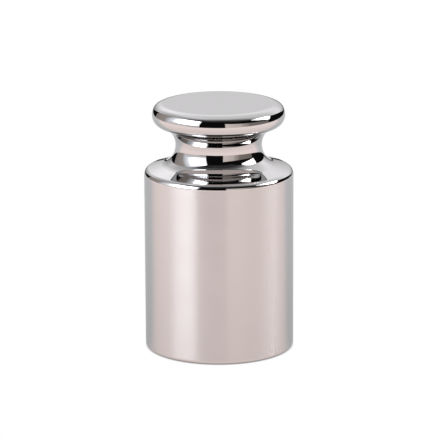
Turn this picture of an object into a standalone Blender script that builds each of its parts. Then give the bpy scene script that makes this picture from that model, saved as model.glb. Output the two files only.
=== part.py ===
"""A one-piece stainless steel calibration weight with a lifting knob.

The weight is turned from one bar about +Z. It stands on its base, with its origin at the centre of the base, and its
nominal mass is 500 g. From the bottom up, its section is a plain cylinder with rounded corners, a shoulder that
slopes down and out, a round groove for the lifting fork, and a flat-topped knob with a full round rim. Sizes are in
metres.
"""

import math

import bpy

# The cylinder and the shoulder that slopes down and out to its edge. The wall's height is that of its straight part.
BODY_RADIUS = 0.0190
WALL_HEIGHT = 0.0452
SHOULDER_EDGE_RADIUS = 0.0015
SHOULDER_SLOPE = math.radians(15.5)
BASE_EDGE_RADIUS = 0.0009

# The groove. The flare is most of an oval's quarter, from the shoulder's slope up to the neck's narrowest ring.
NECK_RADIUS = 0.0110
FLARE_WIDTH = 0.0050
FLARE_HEIGHT = 0.00545

# The knob. Its rise is from the narrowest ring of the neck to the widest ring of the rim. The rim is rounder below
# than at its side, and its upper corner is the tightest.
KNOB_RADIUS = 0.0169
KNOB_RISE = 0.0077
RIM_UNDER_RADIUS = 0.0028
RIM_SIDE_RADIUS = 0.0036
RIM_CORNER_RADIUS = 0.0019
CROWN_RADIUS = 0.0042
CORNER_START = math.radians(27.0)
CROWN_START = math.radians(63.0)

# The fineness of the turned solid.
RING_STEPS = 72
ARC_STEP = math.radians(9.0)
MERGE_DISTANCE = 0.00001

STEEL_COLOUR = (0.60, 0.58, 0.57, 1.0)
STEEL_ROUGHNESS = 0.06


def arc(centre, radii, start, end):
    """Points (radius, height) along an arc of an ellipse with upright axes, both ends included."""
    count = max(2, math.ceil(abs(end - start) / ARC_STEP))
    points = []
    for index in range(count + 1):
        angle = start + (end - start) * index / count
        points.append((centre[0] + radii[0] * math.cos(angle), centre[1] + radii[1] * math.sin(angle)))
    return points


def circle_arc(centre, radius, start, end):
    """Points along an arc of a circle."""
    return arc(centre, (radius, radius), start, end)


def shoulder_profile():
    """The outline from the narrowest ring of the neck, down the flare and the slope to the top of the wall.

    The flare meets the slope at a tangent. That condition gives the angle at which the flare ends, and with it the
    height of the neck's narrowest ring.
    """
    edge_centre = (BODY_RADIUS - SHOULDER_EDGE_RADIUS, WALL_HEIGHT)
    slope_end = (
        edge_centre[0] + SHOULDER_EDGE_RADIUS * math.sin(SHOULDER_SLOPE),
        edge_centre[1] + SHOULDER_EDGE_RADIUS * math.cos(SHOULDER_SLOPE),
    )
    flare_turn = math.atan2(FLARE_HEIGHT, FLARE_WIDTH * math.tan(SHOULDER_SLOPE))
    foot_radius = NECK_RADIUS + FLARE_WIDTH * (1.0 - math.cos(flare_turn))
    foot_height = slope_end[1] + (slope_end[0] - foot_radius) * math.tan(SHOULDER_SLOPE)
    flare_centre = (NECK_RADIUS + FLARE_WIDTH, foot_height + FLARE_HEIGHT * math.sin(flare_turn))
    points = arc(flare_centre, (FLARE_WIDTH, FLARE_HEIGHT), math.pi, math.pi + flare_turn)
    points += circle_arc(edge_centre, SHOULDER_EDGE_RADIUS, math.pi / 2 - SHOULDER_SLOPE, 0.0)
    return points


def next_centre(centre, radius, next_radius, angle):
    """The centre of the arc that carries on at a tangent, at this angle, from an arc of another radius."""
    offset = radius - next_radius
    return (centre[0] + offset * math.cos(angle), centre[1] + offset * math.sin(angle))


def knob_profile(neck_height):
    """The outline from the middle of the flat top, round the rim and in to the narrowest ring of the neck.

    The throat under the rim is one hollow arc. It leaves the neck upright and meets the rim's arc at a tangent, and
    that condition gives its radius.
    """
    rim_height = neck_height + KNOB_RISE
    side_centre = (KNOB_RADIUS - RIM_SIDE_RADIUS, rim_height)
    corner_centre = next_centre(side_centre, RIM_SIDE_RADIUS, RIM_CORNER_RADIUS, CORNER_START)
    crown_centre = next_centre(corner_centre, RIM_CORNER_RADIUS, CROWN_RADIUS, CROWN_START)
    under_centre = (KNOB_RADIUS - RIM_UNDER_RADIUS, rim_height)
    reach = under_centre[0] - NECK_RADIUS
    throat_radius = (reach**2 + KNOB_RISE**2 - RIM_UNDER_RADIUS**2) / (2 * (KNOB_RADIUS - NECK_RADIUS))
    throat_centre = (NECK_RADIUS + throat_radius, neck_height)
    under_end = math.atan2(throat_centre[1] - under_centre[1], throat_centre[0] - under_centre[0])
    points = [(0.0, crown_centre[1] + CROWN_RADIUS)]
    points += circle_arc(crown_centre, CROWN_RADIUS, math.pi / 2, CROWN_START)
    points += circle_arc(corner_centre, RIM_CORNER_RADIUS, CROWN_START, CORNER_START)[1:]
    points += circle_arc(side_centre, RIM_SIDE_RADIUS, CORNER_START, 0.0)[1:]
    points += circle_arc(under_centre, RIM_UNDER_RADIUS, 0.0, under_end)[1:]
    points += circle_arc(throat_centre, throat_radius, under_end + math.pi, math.pi)[1:]
    return points


def base_profile():
    """The outline from the foot of the wall, round the base edge to the middle of the flat base."""
    edge_centre = (BODY_RADIUS - BASE_EDGE_RADIUS, BASE_EDGE_RADIUS)
    return circle_arc(edge_centre, BASE_EDGE_RADIUS, 0.0, -math.pi / 2) + [(0.0, 0.0)]


def weight_profile():
    """The whole outline, from the middle of the flat top to the middle of the flat base."""
    shoulder = shoulder_profile()
    neck_height = shoulder[0][1]
    return knob_profile(neck_height) + shoulder[1:] + base_profile()


def polished_steel():
    """Bare stainless steel, polished all over."""
    material = bpy.data.materials.new("polished_stainless_steel")
    material.use_nodes = True
    shader = material.node_tree.nodes["Principled BSDF"]
    shader.inputs["Base Color"].default_value = STEEL_COLOUR
    shader.inputs["Metallic"].default_value = 1.0
    shader.inputs["Roughness"].default_value = STEEL_ROUGHNESS
    return material


def turned_object(name, profile, material):
    """One closed solid, turned about +Z from a profile that runs from its top centre to its base centre."""
    mesh = bpy.data.meshes.new(name)
    vertices = [(radius, 0.0, height) for radius, height in profile]
    edges = [(index, index + 1) for index in range(len(vertices) - 1)]
    mesh.from_pydata(vertices, edges, [])
    mesh.materials.append(material)
    turned = bpy.data.objects.new(name, mesh)
    screw = turned.modifiers.new("Turn", "SCREW")
    screw.axis = "Z"
    screw.angle = math.tau
    screw.steps = RING_STEPS
    screw.render_steps = RING_STEPS
    screw.use_smooth_shade = True
    screw.use_merge_vertices = True
    screw.merge_threshold = MERGE_DISTANCE
    normals = turned.modifiers.new("Even shading", "WEIGHTED_NORMAL")
    normals.keep_sharp = True
    return turned


def clear_scene():
    """Removes every object that is in the scene."""
    for item in list(bpy.data.objects):
        bpy.data.objects.remove(item, do_unlink=True)


def main():
    """Builds the weight in its own collection."""
    clear_scene()
    collection = bpy.data.collections.new("calibration_weight")
    bpy.context.scene.collection.children.link(collection)
    weight = turned_object("weight", weight_profile(), polished_steel())
    collection.objects.link(weight)


if __name__ == "__main__":
    main()
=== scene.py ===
"""Dresses the 500 g calibration weight in polished stainless steel and lights it in a plain white studio.

The weight is one turned piece. Its outline is the same as the solid's, with finer rings, so that its mirror
finish shows clean reflections. Sizes are in metres. The weight stands on the floor at the origin, with +Z up.
"""

import logging
import math
from dataclasses import dataclass
from enum import Enum

import bpy
from mathutils import Matrix, Vector


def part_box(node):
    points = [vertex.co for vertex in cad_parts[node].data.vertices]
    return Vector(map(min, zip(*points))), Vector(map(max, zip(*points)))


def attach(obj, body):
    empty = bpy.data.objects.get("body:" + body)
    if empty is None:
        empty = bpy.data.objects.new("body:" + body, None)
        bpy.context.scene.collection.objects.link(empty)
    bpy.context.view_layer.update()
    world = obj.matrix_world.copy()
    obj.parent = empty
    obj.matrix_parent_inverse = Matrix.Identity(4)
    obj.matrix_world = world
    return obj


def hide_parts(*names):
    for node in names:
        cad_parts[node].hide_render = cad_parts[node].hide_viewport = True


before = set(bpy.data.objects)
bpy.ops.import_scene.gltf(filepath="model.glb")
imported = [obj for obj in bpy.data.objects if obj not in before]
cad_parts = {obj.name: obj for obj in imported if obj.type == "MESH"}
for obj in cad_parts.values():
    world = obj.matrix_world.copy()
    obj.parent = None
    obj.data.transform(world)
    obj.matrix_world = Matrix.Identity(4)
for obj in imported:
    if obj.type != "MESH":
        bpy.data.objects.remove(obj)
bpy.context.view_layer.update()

MILLIMETRE = 0.001
WHITE = (1.0, 1.0, 1.0, 1.0)

# The lit sheets are set out round this point, which is on the axis at the height of the groove.
MIDDLE = Vector((0.0, 0.0, 0.05))

# How finely arcs are stepped. The tight corners need fewer steps than the long, mirroring arcs.
ARC_STEP = math.radians(2.5)
CORNER_STEP = math.radians(5.0)
LEAST_STEPS = 6

Colour = tuple[float, float, float, float]
Stops = tuple[tuple[float, float], ...]
Corners = tuple[tuple[float, ...], ...]
Settings = dict[str, object]
Inputs = dict[str | int, object]

log = logging.getLogger("calibration_weight")


def linear(colour: str) -> Colour:
    """Turns an sRGB hex colour to linear values.

    Args:
        colour: The colour, such as "#bcbcbc".

    Returns:
        Red, green and blue, and an alpha of 1.
    """
    channels = [int(colour[index : index + 2], 16) / 255 for index in (1, 3, 5)]
    red, green, blue = (c / 12.92 if c <= 0.04045 else ((c + 0.055) / 1.055) ** 2.4 for c in channels)
    return red, green, blue, 1.0


def add_node(
    tree: bpy.types.NodeTree, kind: str, settings: Settings | None = None, inputs: Inputs | None = None
) -> bpy.types.Node:
    """Adds a node with its settings and links.

    Args:
        tree: The node tree that it goes into.
        kind: The node's type name.
        settings: Its properties by name.
        inputs: Its inputs by name or index, each a value or the output socket that feeds it.

    Returns:
        The new node.
    """
    node = tree.nodes.new(kind)
    for name, value in (settings or {}).items():
        setattr(node, name, value)
    for name, value in (inputs or {}).items():
        if isinstance(value, bpy.types.NodeSocket):
            tree.links.new(value, node.inputs[name])
        else:
            node.inputs[name].default_value = value
    return node


def new_material(name: str) -> tuple[bpy.types.Material, bpy.types.NodeTree]:
    """Makes a material with an empty node tree.

    Args:
        name: The material's name.

    Returns:
        The material and its node tree.
    """
    material = bpy.data.materials.new(name)
    material.use_nodes = True
    material.node_tree.nodes.clear()
    return material, material.node_tree


class Lay(Enum):
    """Which way the fine marks of the last working run."""

    ROUND = "round the axis, as a lathe leaves them"
    NONE = "no one way, as a soft mop leaves them"


@dataclass(frozen=True)
class StainlessSteel:
    """Bare austenitic stainless steel, turned from bar and then polished.

    It is a little darker than chrome plate and has no tint of its own. Its polish varies in faint clouds, and
    handling leaves a few fine scratches. Marks that run round the axis smear a reflection upright and leave
    its sides sharp. The streak says how strongly, from 0 to 1, and its turn is the quarter turn from the
    marks to upright.
    """

    name: str
    lay: Lay
    roughness: float
    roughness_change: float
    colour: str = "#bcbcbc"
    edge_colour: str = "#dcdcdc"
    streak: float = 0.83
    streak_turn: float = 0.25
    cloud_size: float = 9.0 * MILLIMETRE
    cloud_limits: tuple[float, float] = (0.3, 0.7)
    line_pitch: float = 0.35 * MILLIMETRE
    line_length: float = 21.0 * MILLIMETRE
    line_depth: float = 0.0002 * MILLIMETRE
    mop_spread: float = 2.0
    scratch_gap: float = 3.0 * MILLIMETRE
    scratch_width: float = 0.06 * MILLIMETRE
    scratch_depth: float = 0.0006 * MILLIMETRE
    scratch_turn: tuple[float, float, float] = (0.5, 0.9, 0.6)
    scratch_stretch: tuple[float, float, float] = (1.0, 0.07, 0.07)

    def marks(self, tree: bpy.types.NodeTree, place: bpy.types.NodeSocket) -> bpy.types.NodeSocket:
        """The surface's fine marks as a bent normal.

        The real hair lines are about 0.01 mm apart, too fine for the picture, so they and the scratches are
        drawn coarser here.

        Args:
            tree: The material's node tree.
            place: The place on the object.

        Returns:
            The normal with the marks of the last polish and a few scratches.
        """
        across, along = 1 / self.line_pitch, 1 / self.line_length
        stretch = {Lay.ROUND: (along, along, across), Lay.NONE: (across / self.mop_spread, along, along)}
        drawn = add_node(
            tree, "ShaderNodeVectorMath", {"operation": "MULTIPLY"}, {0: place, 1: stretch[self.lay]}
        )
        lines = add_node(
            tree,
            "ShaderNodeTexNoise",
            inputs={"Vector": drawn.outputs["Vector"], "Scale": 1.0, "Detail": 4.0, "Roughness": 0.7},
        )
        polish = add_node(
            tree, "ShaderNodeBump", inputs={"Height": lines.outputs["Fac"], "Distance": self.line_depth}
        )
        turned = add_node(
            tree,
            "ShaderNodeMapping",
            inputs={"Vector": place, "Rotation": self.scratch_turn, "Scale": self.scratch_stretch},
        )
        cells = add_node(
            tree,
            "ShaderNodeTexVoronoi",
            {"feature": "DISTANCE_TO_EDGE"},
            {"Vector": turned.outputs["Vector"], "Scale": 1 / self.scratch_gap, "Randomness": 1.0},
        )
        groove = add_node(
            tree,
            "ShaderNodeMapRange",
            {"interpolation_type": "SMOOTHSTEP"},
            {
                "Value": cells.outputs["Distance"],
                "From Min": 0.0,
                "From Max": self.scratch_width / self.scratch_gap,
            },
        )
        scratched = add_node(
            tree,
            "ShaderNodeBump",
            inputs={
                "Height": groove.outputs["Result"],
                "Distance": self.scratch_depth,
                "Normal": polish.outputs["Normal"],
            },
        )
        return scratched.outputs["Normal"]

    def material(self) -> bpy.types.Material:
        """Makes the material: clouds in the polish, hair lines and a few scratches.

        Returns:
            The material.
        """
        material, tree = new_material(self.name)
        place = add_node(tree, "ShaderNodeTexCoord").outputs["Object"]
        clouds = add_node(
            tree,
            "ShaderNodeTexNoise",
            inputs={"Vector": place, "Scale": 1 / self.cloud_size, "Detail": 3.0, "Roughness": 0.6},
        )
        roughness = add_node(
            tree,
            "ShaderNodeMapRange",
            inputs={
                "Value": clouds.outputs["Fac"],
                "From Min": self.cloud_limits[0],
                "From Max": self.cloud_limits[1],
                "To Min": self.roughness - self.roughness_change,
                "To Max": self.roughness + self.roughness_change,
            },
        )
        shader = add_node(
            tree,
            "ShaderNodeBsdfPrincipled",
            inputs={
                "Base Color": linear(self.colour),
                "Metallic": 1.0,
                "Specular Tint": linear(self.edge_colour),
                "Roughness": roughness.outputs["Result"],
                "Normal": self.marks(tree, place),
            },
        )
        if self.lay is Lay.ROUND:
            tangent = add_node(tree, "ShaderNodeTangent", {"direction_type": "RADIAL", "axis": "Z"})
            shader.inputs["Anisotropic"].default_value = self.streak
            shader.inputs["Anisotropic Rotation"].default_value = self.streak_turn
            tree.links.new(tangent.outputs["Tangent"], shader.inputs["Tangent"])
        add_node(tree, "ShaderNodeOutputMaterial", inputs={"Surface": shader.outputs["BSDF"]})
        return material


# A soft mop leaves a clear mirror: lamps and sheets show in it with sharp edges.
MOPPED_STEEL = StainlessSteel(
    "mirror_polished_stainless_steel", Lay.NONE, roughness=0.04, roughness_change=0.01
)

# Polishing in the lathe keeps hair lines round the wall: a lamp shows in it as a soft upright streak.
LATHE_STEEL = StainlessSteel(
    "lathe_polished_stainless_steel", Lay.ROUND, roughness=0.245, roughness_change=0.01
)


class Area(Enum):
    """A stretch of the weight's surface with its own finish: all the shaped ones, or the straight wall.

    The value is the finish's number in the piece's list.
    """

    SHAPED = 0
    WALL = 1


class Bend(Enum):
    """Which way an arc of the outline bulges. The value turns its outward angle to the surface's own."""

    ROUND = 0.0
    HOLLOW = math.pi


@dataclass(frozen=True)
class Ring:
    """One ring of the turned surface: its radius, its height and the angle at which the surface faces."""

    radius: float
    height: float
    facing: float


@dataclass(frozen=True)
class Arc:
    """A round or oval stretch of the outline, from one angle to another."""

    centre: tuple[float, float]
    radii: tuple[float, float]
    start: float
    end: float
    bend: Bend = Bend.ROUND
    step: float = ARC_STEP

    def rings(self) -> list[Ring]:
        """Steps along the arc.

        Returns:
            The rings, those at both its ends included.
        """
        count = max(LEAST_STEPS, math.ceil(abs(self.end - self.start) / self.step))
        across, up = self.radii
        rings = []
        for index in range(count + 1):
            angle = self.start + (self.end - self.start) * index / count
            cosine, sine = math.cos(angle), math.sin(angle)
            facing = math.atan2(across * sine, up * cosine) + self.bend.value
            rings.append(Ring(self.centre[0] + across * cosine, self.centre[1] + up * sine, facing))
        return rings

    def followed_by(self, radius: float, start: float) -> "Arc":
        """The round arc above this one, which it meets at a tangent.

        Args:
            radius: The upper arc's radius.
            start: The angle at its top. It ends at the angle where this one starts.

        Returns:
            The upper arc.
        """
        offset = self.radii[0] - radius
        centre = (
            self.centre[0] + offset * math.cos(self.start),
            self.centre[1] + offset * math.sin(self.start),
        )
        return Arc(centre, (radius, radius), start, self.start)


@dataclass(frozen=True)
class Weight:
    """The turned weight: a plain cylinder, a sloping shoulder, a lifting groove and a flat-topped knob.

    The knob's rise is from the neck's narrowest ring to the rim's widest. The rim bends more tightly below
    than at its side, and most tightly at its upper corner. The two starts are the angles above level at which
    the corner and the crown begin.
    """

    body_radius: float
    wall_height: float = 45.2 * MILLIMETRE
    shoulder_edge: float = 1.5 * MILLIMETRE
    shoulder_slope: float = math.radians(15.5)
    base_edge: float = 0.9 * MILLIMETRE
    neck_radius: float = 11.0 * MILLIMETRE
    flare_width: float = 5.0 * MILLIMETRE
    flare_height: float = 5.45 * MILLIMETRE
    knob_radius: float = 16.9 * MILLIMETRE
    knob_rise: float = 7.7 * MILLIMETRE
    rim_under: float = 2.8 * MILLIMETRE
    rim_side: float = 3.6 * MILLIMETRE
    rim_corner: float = 1.9 * MILLIMETRE
    crown: float = 4.2 * MILLIMETRE
    corner_start: float = math.radians(27.0)
    crown_start: float = math.radians(63.0)
    ring_steps: int = 256

    def shoulder_arc(self) -> Arc:
        """The rounded corner between the shoulder's slope and the cylinder.

        Returns:
            The arc.
        """
        edge = self.shoulder_edge
        centre = (self.body_radius - edge, self.wall_height)
        return Arc(centre, (edge, edge), math.pi / 2 - self.shoulder_slope, 0.0, step=CORNER_STEP)

    def flare_arc(self) -> Arc:
        """The oval hollow from the neck's narrowest ring down to the shoulder's slope.

        Returns:
            The arc. Its height comes from the slope, which it meets at a tangent.
        """
        corner = self.shoulder_arc().rings()[0]
        turn = math.atan2(self.flare_height, self.flare_width * math.tan(self.shoulder_slope))
        foot_radius = self.neck_radius + self.flare_width * (1 - math.cos(turn))
        foot_height = corner.height + (corner.radius - foot_radius) * math.tan(self.shoulder_slope)
        centre = (self.neck_radius + self.flare_width, foot_height + self.flare_height * math.sin(turn))
        return Arc(centre, (self.flare_width, self.flare_height), math.pi, math.pi + turn, Bend.HOLLOW)

    def knob_arcs(self) -> list[Arc]:
        """The knob's arcs, from the flat top to the neck's narrowest ring.

        Returns:
            The crown, the rim's corner, its side, its underside and the throat. Each meets the next at a
            tangent, and the throat leaves the neck upright.
        """
        neck_height = self.flare_arc().centre[1]
        height = neck_height + self.knob_rise
        side = Arc((self.knob_radius - self.rim_side, height), (self.rim_side,) * 2, self.corner_start, 0.0)
        corner = side.followed_by(self.rim_corner, self.crown_start)
        crown = corner.followed_by(self.crown, math.pi / 2)
        centre = (self.knob_radius - self.rim_under, height)
        squares = (centre[0] - self.neck_radius) ** 2 + self.knob_rise**2 - self.rim_under**2
        throat_radius = squares / (2 * (self.knob_radius - self.neck_radius))
        throat_centre = (self.neck_radius + throat_radius, neck_height)
        turn = math.atan2(-self.knob_rise, throat_centre[0] - centre[0])
        under = Arc(centre, (self.rim_under,) * 2, 0.0, turn)
        throat = Arc(throat_centre, (throat_radius,) * 2, turn + math.pi, math.pi, Bend.HOLLOW)
        return [crown, corner, side, under, throat]

    def base_arc(self) -> Arc:
        """The rounded corner between the cylinder and the flat base."""
        edge = self.base_edge
        return Arc((self.body_radius - edge, edge), (edge, edge), 0.0, -math.pi / 2, step=CORNER_STEP)

    def outline(self) -> tuple[list[Ring], int]:
        """The rings from the edge of the flat top down to the edge of the flat base.

        Returns:
            The rings, and the number of the last one above the cylinder's straight wall.
        """
        crown, *arcs = self.knob_arcs() + [self.flare_arc()]
        rings = crown.rings() + [ring for arc in arcs for ring in arc.rings()[1:]]
        rings += self.shoulder_arc().rings()
        return rings + self.base_arc().rings(), len(rings) - 1

    def build(self) -> bpy.types.Object:
        """Turns the outline round the axis, and gives each ring the facing that its arc has there.

        Returns:
            The piece, with each face's finish numbered.
        """
        rings, wall = self.outline()
        steps = self.ring_steps
        turns = [math.tau * index / steps for index in range(steps)]
        vertices = [(r.radius * math.cos(t), r.radius * math.sin(t), r.height) for r in rings for t in turns]
        normals = [
            (math.cos(r.facing) * math.cos(t), math.cos(r.facing) * math.sin(t), math.sin(r.facing))
            for r in rings
            for t in turns
        ]
        top, base = len(vertices), len(vertices) + 1
        vertices += [(0.0, 0.0, rings[0].height), (0.0, 0.0, rings[-1].height)]
        normals += [(0.0, 0.0, 1.0), (0.0, 0.0, -1.0)]
        after = [(index + 1) % steps for index in range(steps)]
        faces = [(top, index, after[index]) for index in range(steps)]
        finishes = [Area.SHAPED.value] * steps
        for ring in range(len(rings) - 1):
            upper, lower = ring * steps, (ring + 1) * steps
            faces += [(upper + a, lower + a, lower + b, upper + b) for a, b in enumerate(after)]
            area = Area.WALL if ring == wall else Area.SHAPED
            finishes += [area.value] * steps
        last = (len(rings) - 1) * steps
        faces += [(base, last + b, last + a) for a, b in enumerate(after)]
        finishes += [Area.SHAPED.value] * steps
        mesh = bpy.data.meshes.new("polished_weight")
        mesh.from_pydata(vertices, [], faces)
        mesh.polygons.foreach_set("material_index", finishes)
        mesh.shade_smooth()
        mesh.normals_split_custom_set_from_vertices(normals)
        piece = bpy.data.objects.new("polished_weight", mesh)
        bpy.context.scene.collection.objects.link(piece)
        return piece

    def dress(self, piece: bpy.types.Object) -> None:
        """Gives the piece its finishes and says what it stands for.

        Args:
            piece: The turned piece.
        """
        finishes = {Area.SHAPED: MOPPED_STEEL, Area.WALL: LATHE_STEEL}
        for area in Area:
            piece.data.materials.append(finishes[area].material())
        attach(piece, "root")
        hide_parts("weight")


@dataclass(frozen=True)
class Bearing:
    """A direction from the weight: degrees to the right of the camera's side, and degrees above the floor."""

    azimuth: float
    elevation: float

    def point(self, distance: float) -> Vector:
        """The point this way from the weight's middle.

        Args:
            distance: How far it is.

        Returns:
            The point.
        """
        azimuth, elevation = math.radians(self.azimuth), math.radians(self.elevation)
        level = math.cos(elevation)
        return MIDDLE + distance * Vector(
            (level * math.sin(azimuth), -level * math.cos(azimuth), math.sin(elevation))
        )


class Meeting(Enum):
    """How a lit sheet's share across it and its share up it make one. The value is the maths node's word."""

    PRODUCT = "MULTIPLY"
    SMALLER = "MINIMUM"


@dataclass(frozen=True)
class Panel:
    """A lit sheet of cloth or card, whose brightness follows stops (place, share) across it and up it. A card
    is no lamp, so its glow is painted light.

    Its corners run from the lower left one, by the lower right and the upper right, to the upper left. The
    stuff shows no weave or shine of its own, so the steel shows a plain patch that fades as its light does.
    """

    name: str
    colour: str
    radiance: float
    corners: Corners
    across: Stops
    upward: Stops = ((0.0, 1.0),)
    meeting: Meeting = Meeting.PRODUCT
    stuff: str = "backlit_white_diffusion_cloth"
    steps: int = 24

    def point(self, across: float, up: float) -> Vector:
        """A point on the sheet, evenly between its four corners.

        Args:
            across: The place from its left, 0, to its right, 1.
            up: The place from its foot, 0, to its top, 1.

        Returns:
            The point.
        """
        lower_left, lower_right, upper_right, upper_left = (Vector(corner) for corner in self.corners)
        return lower_left.lerp(lower_right, across).lerp(upper_left.lerp(upper_right, across), up)

    def build(self) -> bpy.types.Object:
        """Makes the sheet, with a map that runs from 0 to 1 across it and up it.

        Returns:
            The sheet.
        """
        places = [index / self.steps for index in range(self.steps + 1)]
        vertices = [self.point(across, up) for up in places for across in places]
        row = self.steps + 1
        faces = [
            (start, start + 1, start + 1 + row, start + row)
            for start in (up * row + across for up in range(self.steps) for across in range(self.steps))
        ]
        mesh = bpy.data.meshes.new(self.name)
        mesh.from_pydata(vertices, [], faces)
        layer = mesh.uv_layers.new(name="place")
        for loop in mesh.loops:
            up, across = divmod(loop.vertex_index, row)
            layer.data[loop.index].uv = (places[across], places[up])
        panel = bpy.data.objects.new(self.name, mesh)
        bpy.context.scene.collection.objects.link(panel)
        return panel

    def dress(self, panel: bpy.types.Object) -> None:
        """Makes the sheet glow and keeps it out of the picture.

        Args:
            panel: The sheet.
        """
        material, tree = new_material(f"{self.stuff}_of_{self.name}")
        place = add_node(tree, "ShaderNodeUVMap", {"uv_map": "place"})
        parts = add_node(tree, "ShaderNodeSeparateXYZ", inputs={"Vector": place.outputs["UV"]})
        shares = []
        for axis, stops in (("X", self.across), ("Y", self.upward)):
            ramp = add_node(tree, "ShaderNodeValToRGB", inputs={"Fac": parts.outputs[axis]})
            ramp.color_ramp.interpolation = "EASE"
            elements = ramp.color_ramp.elements
            elements.remove(elements[1])
            for index, (where, share) in enumerate(stops):
                element = elements[0] if index == 0 else elements.new(where)
                element.position = where
                element.color = (share, share, share, 1.0)
            shares.append(ramp.outputs["Color"])
        share = add_node(
            tree, "ShaderNodeMath", {"operation": self.meeting.value}, {0: shares[0], 1: shares[1]}
        )
        radiance = add_node(
            tree, "ShaderNodeMath", {"operation": "MULTIPLY"}, {0: share.outputs[0], 1: self.radiance}
        )
        glow = add_node(
            tree,
            "ShaderNodeEmission",
            inputs={"Color": linear(self.colour), "Strength": radiance.outputs[0]},
        )
        add_node(tree, "ShaderNodeOutputMaterial", inputs={"Surface": glow.outputs["Emission"]})
        panel.data.materials.append(material)
        panel.visible_camera = False


@dataclass(frozen=True)
class CurvedPanel(Panel):
    """A lit sheet that curves round the weight. Its corners are bearings: azimuth and elevation."""

    meeting: Meeting = Meeting.SMALLER
    distance: float = 3.0

    def point(self, across: float, up: float) -> Vector:
        """A point on the sheet, at an even distance from the weight.

        Args:
            across: The place from its left, 0, to its right, 1.
            up: The place from its foot, 0, to its top, 1.

        Returns:
            The point.
        """
        bearing = super().point(across, up)
        return Bearing(bearing.x, bearing.y).point(self.distance)


@dataclass(frozen=True)
class GlowingFloorWithPaintedShade:
    """A floor that glows as an opal acrylic sheet lit from below would, and whose glow paints its light and
    shade.

    It catches no light from the lit sheets. The eye sees a plain white ground with no shadow, but for a
    painted shadow, the dark line under the weight's rounded foot. The steel shows the floor a little pink and
    brighter in front of the weight, painted light, and grey behind it, the weight's painted shadow. The tints
    are linear, and above 1 where the floor is brighter than white. They meet on a line, the painted shadow's
    edge, that starts in front of the weight and runs back on both sides as it runs out. They fade into each
    other more widely further out. The floor grows brighter away from the weight, between the two radii of its
    spread: painted shade darkens it round the weight.
    """

    name: str = "backlit_opal_acrylic"
    # Painted light: the floor pink and brighter in front of the weight. Painted shadow: the weight's, grey
    # behind it.
    painted_light_front_tint: Colour = (1.33, 1.14, 1.1, 1.0)
    painted_shadow_back_tint: Colour = (0.94, 0.93, 0.95, 1.0)
    # Where the edge of the weight's painted shadow runs, and how widely it fades.
    shadow_edge_front: float = 18.8 * MILLIMETRE
    shadow_edge_slope: float = 0.56
    fade: tuple[float, float] = (-0.12, 0.3)
    # Painted shade: the floor is darker round the weight and lighter further out.
    spread: tuple[float, float] = (19.0 * MILLIMETRE, 200.0 * MILLIMETRE)
    painted_shade_shares: tuple[float, float] = (0.9, 1.1)
    # A painted shadow in a ring under the weight's rounded foot.
    foot: tuple[float, float] = (18.2 * MILLIMETRE, 19.2 * MILLIMETRE)
    contact_shadow_share: float = 0.2

    def material(self) -> bpy.types.Material:
        """Makes the material, which glows with painted light and shade. To the camera it is plain white
        outside the weight's foot.

        Returns:
            The material.
        """
        material, tree = new_material(self.name)
        place = add_node(tree, "ShaderNodeTexCoord").outputs["Object"]
        parts = add_node(tree, "ShaderNodeSeparateXYZ", inputs={"Vector": place})
        width = add_node(tree, "ShaderNodeMath", {"operation": "ABSOLUTE"}, {0: parts.outputs["X"]})
        # The edge of the weight's painted shadow: painted light falls in front of it, painted shadow behind
        # it.
        line = add_node(
            tree,
            "ShaderNodeMath",
            {"operation": "MULTIPLY_ADD"},
            {0: width.outputs[0], 1: -self.shadow_edge_slope, 2: self.shadow_edge_front},
        )
        past = add_node(
            tree, "ShaderNodeMath", {"operation": "ADD"}, {0: parts.outputs["Y"], 1: line.outputs[0]}
        )
        share = add_node(
            tree, "ShaderNodeMath", {"operation": "DIVIDE"}, {0: past.outputs[0], 1: width.outputs[0]}
        )
        behind = add_node(
            tree,
            "ShaderNodeMapRange",
            {"interpolation_type": "SMOOTHSTEP"},
            {"Value": share.outputs[0], "From Min": self.fade[0], "From Max": self.fade[1]},
        )
        # Pink painted light in front, the weight's grey painted shadow behind.
        tint = add_node(
            tree,
            "ShaderNodeMix",
            {"data_type": "RGBA"},
            {"Factor": behind.outputs["Result"], "A": self.painted_light_front_tint, "B": self.painted_shadow_back_tint},
        )
        away = add_node(tree, "ShaderNodeVectorMath", {"operation": "LENGTH"}, {0: place})
        # Painted shade: the glow is dimmer round the weight.
        near_weight_shade = add_node(
            tree,
            "ShaderNodeMapRange",
            inputs={
                "Value": away.outputs["Value"],
                "From Min": self.spread[0],
                "From Max": self.spread[1],
                "To Min": self.painted_shade_shares[0],
                "To Max": self.painted_shade_shares[1],
            },
        )
        lit = add_node(
            tree,
            "ShaderNodeVectorMath",
            {"operation": "SCALE"},
            {0: tint.outputs["Result"], "Scale": near_weight_shade.outputs[0]},
        )
        ray = add_node(tree, "ShaderNodeLightPath")
        seen = add_node(
            tree,
            "ShaderNodeMix",
            {"data_type": "RGBA"},
            {"Factor": ray.outputs["Is Camera Ray"], "A": lit.outputs["Vector"], "B": WHITE},
        )
        # Painted shadow: the glow drops to a fifth in a ring under the weight's rounded foot, for every ray.
        contact_shadow = add_node(
            tree,
            "ShaderNodeMapRange",
            inputs={
                "Value": away.outputs["Value"],
                "From Min": self.foot[0],
                "From Max": self.foot[1],
                "To Min": self.contact_shadow_share,
            },
        )
        glow = add_node(
            tree,
            "ShaderNodeEmission",
            inputs={"Color": seen.outputs["Result"], "Strength": contact_shadow.outputs["Result"]},
        )
        add_node(tree, "ShaderNodeOutputMaterial", inputs={"Surface": glow.outputs["Emission"]})
        return material


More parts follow.
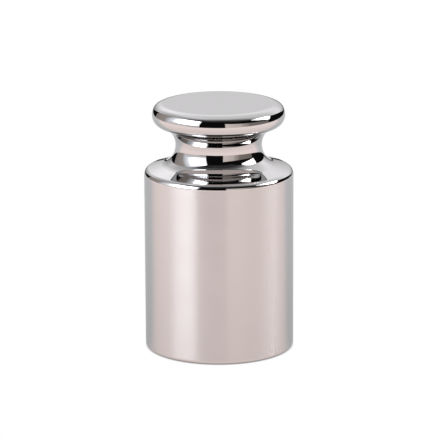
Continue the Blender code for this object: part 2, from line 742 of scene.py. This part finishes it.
@dataclass(frozen=True)
class Studio:
    """A white table in a dark room, with a sloping sheet over it, one at its left, two softboxes and a board.

    The overhead sheet's back edge is level with the point that the sheets stand round, and it slopes up to
    its front edge. The room's level is how bright its dark walls are.
    """

    floor_radius: float = 0.7
    floor_sides: int = 96
    sheet_left: float = -1.0
    sheet_right: float = 1.32
    sheet_front: float = -1.75
    sheet_back: float = 2.5
    sheet_slope: float = 0.4
    room_level: float = 0.006

    def overhead_sheet(self) -> Panel:
        """The sheet that slopes up from behind the weight to over its front, lit by a lamp behind the sheet.

        Returns:
            The sheet, which is dim at its front, past the lamp's reach.
        """
        top = MIDDLE.z + self.sheet_slope * (self.sheet_back - self.sheet_front)
        return Panel(
            "overhead_sheet",
            "#fffdff",
            radiance=1.66,
            corners=(
                (self.sheet_left, self.sheet_back, MIDDLE.z),
                (self.sheet_right, self.sheet_back, MIDDLE.z),
                (self.sheet_right, self.sheet_front, top),
                (self.sheet_left, self.sheet_front, top),
            ),
            across=(
                (0.0, 0.65),
                (0.19, 0.7),
                (0.26, 0.95),
                (0.33, 1.17),
                (0.4, 1.04),
                (0.46, 1.04),
                (0.6, 0.98),
            ),
            upward=(
                (0.0, 0.42),
                (0.13, 0.58),
                (0.19, 0.72),
                (0.33, 0.94),
                (0.47, 0.64),
                (0.55, 0.57),
                (0.61, 0.38),
                (0.69, 0.10),
                (0.80, 0.03),
            ),
        )

    def panels(self) -> list[Panel]:
        """The lit sheets round the weight. Each softbox glows in its middle and has a dim border.

        Returns:
            The overhead sheet, the left softbox, the sheet behind it, the right softbox and the low board.
        """
        left = CurvedPanel(
            "left_softbox",
            "#f6f8ff",
            radiance=15.5,
            corners=((-104.0, 0.5), (-33.0, 0.5), (-33.0, 47.0), (-104.0, 47.0)),
            across=((0.0, 0.05), (0.2, 0.09), (0.3, 0.15), (0.5, 0.9), (0.6, 1.0), (0.9, 1.0), (0.96, 0.12)),
            upward=((0.0, 0.06), (0.16, 0.08), (0.27, 1.0), (0.8, 1.0), (0.9, 0.12), (1.0, 0.1)),
        )
        side = CurvedPanel(
            "left_sheet",
            "#fff0e8",
            radiance=1.1,
            corners=((-136.0, -6.0), (-33.0, -6.0), (-33.0, 73.0), (-136.0, 28.0)),
            across=((0.0, 0.4), (0.28, 0.48), (0.38, 0.95), (0.75, 1.0), (0.88, 0.55)),
            distance=3.2,
        )
        right = CurvedPanel(
            "right_softbox",
            "#ffffff",
            radiance=36.0,
            corners=((65.0, 32.5), (99.0, 11.5), (113.0, 28.5), (76.0, 54.0)),
            across=((0.0, 0.05), (0.12, 0.055), (0.45, 0.4), (0.75, 1.0), (0.86, 1.0), (0.95, 0.07)),
            upward=((0.0, 0.05), (0.1, 0.055), (0.22, 1.0), (0.75, 1.0), (0.9, 0.055)),
        )
        # The low board is a card, no lamp: its glow is painted light, brightest at its left end.
        board = CurvedPanel(
            "low_board",
            "#fff0e8",
            radiance=1.05,
            corners=((11.3, -6.0), (95.0, -6.0), (95.0, 11.0), (11.3, 26.5)),
            across=((0.0, 1.0), (0.3, 0.85), (0.42, 0.55), (0.55, 0.3), (1.0, 0.25)),
            stuff="matt_warm_white_card",
        )
        return [self.overhead_sheet(), left, side, right, board]

    def build_floor(self) -> bpy.types.Object:
        """Makes the round white table top, whose glow paints its light and shade.

        Returns:
            The floor.
        """
        radius = self.floor_radius
        turns = [math.tau * index / self.floor_sides for index in range(self.floor_sides)]
        ring = [(radius * math.cos(turn), radius * math.sin(turn), 0.0) for turn in turns]
        mesh = bpy.data.meshes.new("floor")
        mesh.from_pydata(ring, [], [tuple(range(self.floor_sides))])
        floor = bpy.data.objects.new("floor", mesh)
        bpy.context.scene.collection.objects.link(floor)
        mesh.materials.append(GlowingFloorWithPaintedShade().material())
        return floor

    def build_room(self) -> None:
        """Makes the room dark, as the steel shows it, with a white backdrop behind the picture."""
        world = bpy.data.worlds.new("studio")
        world.use_nodes = True
        tree = world.node_tree
        tree.nodes.clear()
        ray = add_node(tree, "ShaderNodeLightPath")
        walls = (self.room_level, self.room_level, self.room_level, 1.0)
        dark = add_node(tree, "ShaderNodeBackground", inputs={"Color": walls})
        pale = add_node(tree, "ShaderNodeBackground", inputs={"Color": WHITE})
        mixed = add_node(
            tree,
            "ShaderNodeMixShader",
            inputs={0: ray.outputs["Is Camera Ray"], 1: dark.outputs[0], 2: pale.outputs[0]},
        )
        add_node(tree, "ShaderNodeOutputWorld", inputs={"Surface": mixed.outputs[0]})
        bpy.context.scene.world = world


@dataclass(frozen=True)
class Camera:
    """The camera, a little above the weight, with a long lens. Its lens and sensor are in millimetres."""

    distance: float = 0.76
    elevation: float = math.radians(14.64)
    roll: float = math.radians(-0.244)
    lens: float = 242.9
    sensor: float = 36.0
    aim: tuple[float, float, float] = (0.000375, 0.0, 0.03272)

    def build(self) -> bpy.types.Object:
        """Makes the camera and gives it to the scene.

        Returns:
            The camera.
        """
        back = Vector((0.0, -math.cos(self.elevation), math.sin(self.elevation)))
        level = Vector((1.0, 0.0, 0.0))
        up = back.cross(level)
        right = level * math.cos(self.roll) + up * math.sin(self.roll)
        top = up * math.cos(self.roll) - level * math.sin(self.roll)
        data = bpy.data.cameras.new("camera")
        data.lens = self.lens
        data.sensor_width = self.sensor
        camera = bpy.data.objects.new("camera", data)
        place = Matrix((right, top, back)).transposed().to_4x4()
        place.translation = Vector(self.aim) + back * self.distance
        camera.matrix_world = place
        bpy.context.scene.collection.objects.link(camera)
        bpy.context.scene.camera = camera
        return camera


def main() -> None:
    """Builds the weight, the studio and the camera in order."""
    logging.basicConfig(level=logging.INFO, format="%(message)s")
    bpy.context.scene.view_settings.view_transform = "Standard"
    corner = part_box("weight")[1]
    weight = Weight(body_radius=corner[0])
    piece = weight.build()
    weight.dress(piece)
    log.info("turned weight: %d faces", len(piece.data.polygons))
    studio = Studio()
    floor = studio.build_floor()
    log.info("floor: %d sides", len(floor.data.vertices))
    for panel in studio.panels():
        panel.dress(panel.build())
        log.info("panel: %s", panel.name)
    studio.build_room()
    camera = Camera().build()
    log.info("camera: lens of %.1f mm", camera.data.lens)


if __name__ == "__main__":
    main()
